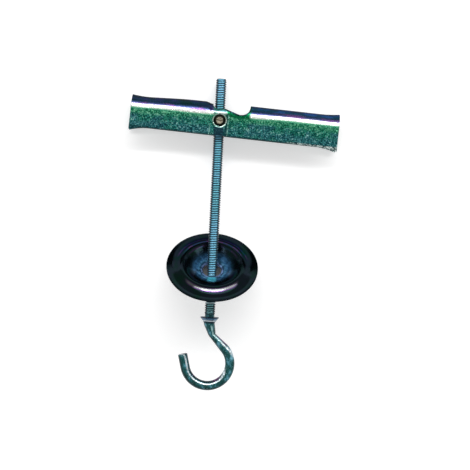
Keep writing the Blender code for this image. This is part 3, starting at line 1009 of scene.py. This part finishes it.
def slot_marks(g):
    """Factors for the painted shade of a nick at the slot's short side and for the slot's dark cut edges."""
    # painted shade of a small nick that the mesh does not have
    across_nick = g.math("DIVIDE", g.math("ADD", g.x, 4.5), 0.5)
    along_nick = g.math("DIVIDE", g.math("SUBTRACT", g.y, 4.7), 1.3)
    nick = g.band(g.squares(across_nick, along_nick), 1.0, 0.5, 0.0, 0.85)
    along = g.math("SUBTRACT", g.x, SCALLOP_FROM_PIVOT / MM)
    above = g.math("SUBTRACT", g.y, (SCALLOP_FLOOR + SCALLOP_R) / MM)
    radius = SCALLOP_R / MM
    round_scallop = g.band(g.length(along, above), radius + 0.75, radius + 0.35)
    lip_x, lip_y = [size / MM for size in SLOT_RIGHT_LIP]
    slope = g.math("ADD", g.y, g.product(g.math("SUBTRACT", g.x, lip_x), 0.315))
    beside_lip = g.product(g.band(slope, lip_y - 1.0, lip_y - 0.55), g.between(g.x, (1.6, 2.2), (9.0, 8.2)))
    cut = g.math("MAXIMUM", g.product(round_scallop, g.band(above, 0.6, -0.6)), beside_lip)
    return nick, cut


def edge_coats(g, grain):
    """Coats along the free edges: darker, and lighter in patches towards the long arm's end."""
    free_edge = -PIVOT_TO_EDGE / MM
    edge = g.band(g.y, free_edge + 0.8, free_edge + 0.3)
    bright_band = g.product(edge, g.band(g.x, 30.0, 36.0), g.band(grain, 0.44, 0.54))
    return [(g.product(edge, 0.6), (18, 54, 58)), (bright_band, (210, 226, 222))]


def pad_coats(g, height, grain, streak):
    """Coats on the pad: painted shade on its ramp, painted highlight lines on the creases beside it, the
    rod's painted shadow, and a painted highlight on the hole's rim.
    """
    # painted shade on the pad's ramp
    ramp = g.product(g.between(g.x, (2.3, 2.8), (4.1, 3.6, 0.0, 0.7)), g.band(height, 0.9, 0.1))
    # painted highlight lines on the creases beside the pad
    right_line = g.product(g.between(g.x, (3.65, 3.85), (4.3, 4.05)), g.band(height, 0.6, -0.2))
    left_line = g.product(g.between(g.x, (-4.6, -4.35), (-3.9, -4.15)), g.band(g.y, -1.6, -2.4))
    crease_highlight = g.math("MAXIMUM", right_line, left_line)
    # painted shadow of the rod on the flange below the pivot
    below = g.product(g.band(g.math("ABSOLUTE", g.x), 2.4, 1.9), g.band(g.y, -2.8, -3.4))
    # painted highlight on the pivot hole's rim
    rolled = g.between(g.length(g.x, g.y), (2.75, 2.85), (3.35, 3.2))
    return [
        (ramp, (10, 56, 60)),
        (g.product(crease_highlight, g.band(grain, 0.42, 0.54, 0.15, 0.85)), (150, 210, 196)),
        (g.product(below, 0.8), (26, 46, 66)),
        (g.product(rolled, g.band(streak, 0.4, 0.56, 0.25, 0.8)), (196, 214, 204)),
    ]


def paint_bar(piece, frame):
    g = Graph("tinted_zinc_bar", frame)
    coarse = g.product(g.noise(0.5, 3.0, 0.6, seed=14), 0.26)
    grain = g.math("MULTIPLY_ADD", g.noise(1.9, 2.0, 0.7), 0.74, coarse)
    streak = g.noise(0.5, 3.0, 0.6, stretch=(0.3, 1, 1), seed=8)
    # Height above the start of the bend, and the same with the bow and unevenness of the painted highlight
    # and shade bands
    drop = g.band(g.x, (DROP_LENGTH - BAR_SHORT_ARM) / MM, -BAR_SHORT_ARM / MM, 0.0, DROP_DEPTH / MM)
    height = g.math("SUBTRACT", g.math("ADD", g.y, drop), (PIVOT_TO_BACK - BAR_WIDTH / 2) / MM)
    from_pivot = g.math("ABSOLUTE", g.x)
    bow = g.math("ADD", g.band(from_pivot, 34.0, 12.0, 0.1, 0.85), g.band(g.x, 0.0, -8.0, 0.0, 0.25))
    uneven = g.math("SUBTRACT", g.noise(0.25, 3.0, seed=5), 0.5)
    wander = g.math("MULTIPLY_ADD", uneven, 0.6, g.math("ADD", height, bow))
    colour = g.mix(g.band(wander, -0.4, 0.3), flange_colour(g, height, grain), bend_highlight_and_shade(g, wander, streak))
    nick, cut = slot_marks(g)
    inside = g.band(g.math("ABSOLUTE", g.z), 4.5, 4.2)
    coats = [
        (nick, (44, 30, 84)),
        # painted shade inside the channel
        (g.product(inside, g.band(height, 1.0, 0.0)), (20, 58, 62)),
        (cut, (14, 40, 44)),
    ]
    coats += edge_coats(g, grain) + pad_coats(g, height, grain, streak)
    dents = g.band(g.noise(1.5, 3.0, 0.6, seed=3), 0.56, 0.7)
    relief = g.math("ADD", g.product(grain, 0.5), g.product(dents, 0.8))
    smoother_back = g.band(height, 1.0, 0.0, 0.15, 1.0)
    g.finish(
        piece,
        Base_Color=g.layers(colour, coats),
        Metallic=0.8,
        Roughness=g.band(grain, 0.36, 0.64, 0.2, 0.34),
        Specular_Tint=(0.2, 0.28, 0.32, 1),
        Normal=g.bump(g.product(relief, smoother_back), 0.06 * MM, 0.6),
    )


# Floor, light and camera


def floor_material(under_hole):
    """Pale paint, lifted where it is seen or mirrored, with a painted shadow under the washer's hole that
    follows the ambient occlusion and has no lift.
    """
    g = Nodes("pale_floor")
    g.nodes.clear()
    away = g.add("VectorMath")
    away.operation = "DISTANCE"
    g.feed(away.inputs[0], g.add("NewGeometry").outputs["Position"])
    away.inputs[1].default_value = under_hole
    # painted shadow: near the point under the washer's hole the floor darkens with the ambient occlusion and
    # loses its lift
    clear = g.band(away.outputs["Value"], HOLE_SHADE_INNER, HOLE_SHADE_OUTER)
    contact = g.add("AmbientOcclusion", Distance=CONTACT_DISTANCE).outputs["AO"]
    unshaded = g.add("MapRange", Value=contact, From_Min=CONTACT_DARK, From_Max=CONTACT_CLEAR)
    lightest = g.math("MAXIMUM", unshaded.outputs["Result"], clear)
    pale = g.mix(lightest, (0, 0, 0, 1), (FLOOR_ALBEDO, FLOOR_ALBEDO, FLOOR_ALBEDO, 1))
    rays = g.add("LightPath").outputs
    seen = g.math("MAXIMUM", rays["Is Camera Ray"], rays["Is Glossy Ray"])
    seen = g.math("MAXIMUM", seen, rays["Is Transmission Ray"])
    both = g.add("AddShader")
    g.feed(both.inputs[0], g.add("BsdfDiffuse", Color=pale).outputs[0])
    g.feed(both.inputs[1], g.add("Emission", Strength=g.product(seen, clear, FLOOR_LIFT)).outputs[0])
    g.add("OutputMaterial", Surface=both.outputs[0])
    return g.material


def add_floor(under_hole):
    angles = [math.tau * i / FLOOR_SIDES for i in range(FLOOR_SIDES)]
    points = [(FLOOR_RADIUS * math.cos(angle), FLOOR_RADIUS * math.sin(angle), 0) for angle in angles]
    floor = add_object("floor", new_mesh("floor", points, [tuple(range(FLOOR_SIDES))]))
    floor.data.materials.append(floor_material(under_hole))


def camera_axes(frame):
    """The camera's axes in the row frame: right, up and towards the viewer, as a matrix."""
    turn = Matrix.Rotation(CAMERA_ROLL, 3, "Z") @ Matrix.Rotation(CAMERA_PAN, 3, "Y")
    turn = turn @ Matrix.Rotation(CAMERA_TILT, 3, "X")
    return frame.to_3x3() @ turn.transposed()


def add_camera(frame):
    """The camera looks from the fitted place at what is in the middle of the photo."""
    axes = camera_axes(frame)
    target = frame @ LOOK_AT
    place = target + axes @ Vector((0, 0, CAMERA_DISTANCE))
    shift = Vector((-OBJECT_SHIFT[0], OBJECT_SHIFT[1], 0)) / PIXELS_PER_METRE
    middle = target + axes @ shift
    forward = (middle - place).normalized()
    right = forward.cross(axes @ Vector((0, 1, 0))).normalized()
    data = bpy.data.cameras.new("camera")
    data.sensor_width = SENSOR_WIDTH
    data.lens = SENSOR_WIDTH * PIXELS_PER_METRE * (middle - place).length / FRAME_PIXELS
    camera = add_object("camera", data)
    camera.matrix_world = placed(place, right, right.cross(forward), -forward)
    bpy.context.scene.camera = camera


def add_lamp(name, aim, axes, from_camera, side, distance, size, radiance):
    """An area lamp at an angle above the camera's axis, and to one side of it."""
    direction = Vector((math.sin(side), math.sin(from_camera), 0))
    direction.z = math.sqrt(1 - direction.length_squared)
    place = aim + axes @ direction * distance
    data = bpy.data.lights.new(name, "AREA")
    data.shape = "RECTANGLE"
    data.size, data.size_y = size
    data.energy = radiance * math.pi * size[0] * size[1]
    lamp = add_object(name, data)
    toward = (place - aim).normalized()
    right = (axes @ Vector((0, 1, 0))).cross(toward).normalized()
    lamp.matrix_world = placed(place, right, toward.cross(right), toward)
    lamp.visible_camera = False


def light_scene(frame):
    world = bpy.data.worlds.new("studio")
    world.use_nodes = True
    sky = world.node_tree.nodes["Background"]
    sky.inputs["Color"].default_value = (1, 1, 1, 1)
    sky.inputs["Strength"].default_value = WORLD_LEVEL
    bpy.context.scene.world = world
    axes = camera_axes(frame)
    aim = frame @ LOOK_AT
    add_lamp("key_strip", aim, axes, KEY_FROM_CAMERA, KEY_TO_SIDE, KEY_DISTANCE, KEY_SIZE, KEY_RADIANCE)
    add_lamp("soft_box", aim, axes, BOX_FROM_CAMERA, BOX_TO_SIDE, BOX_DISTANCE, BOX_SIZE, BOX_RADIANCE)


def main():
    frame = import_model()
    bpy.context.scene.view_settings.view_transform = "Standard"
    anchor = anchor_frame(frame["record"])
    bar = anchor @ Matrix.Rotation(-BAR_LEAN, 4, "Z")
    washer = anchor @ Matrix.Translation((0, -PIVOT_TO_WASHER, 0))
    washer = washer @ Matrix.Rotation(washer_tilt() - math.pi / 2, 4, "X")
    add_camera(anchor)
    light_scene(anchor)
    hole = washer.translation
    add_floor(Vector((hole.x, hole.y, 0)))
    paint_bolt(add_hook_bolt(anchor), anchor)
    paint_washer(add_cover_washer(washer), washer)
    paint_nut(add_trunnion_nut(anchor), anchor)
    paint_bar(add_toggle_bar(bar), bar)


main()
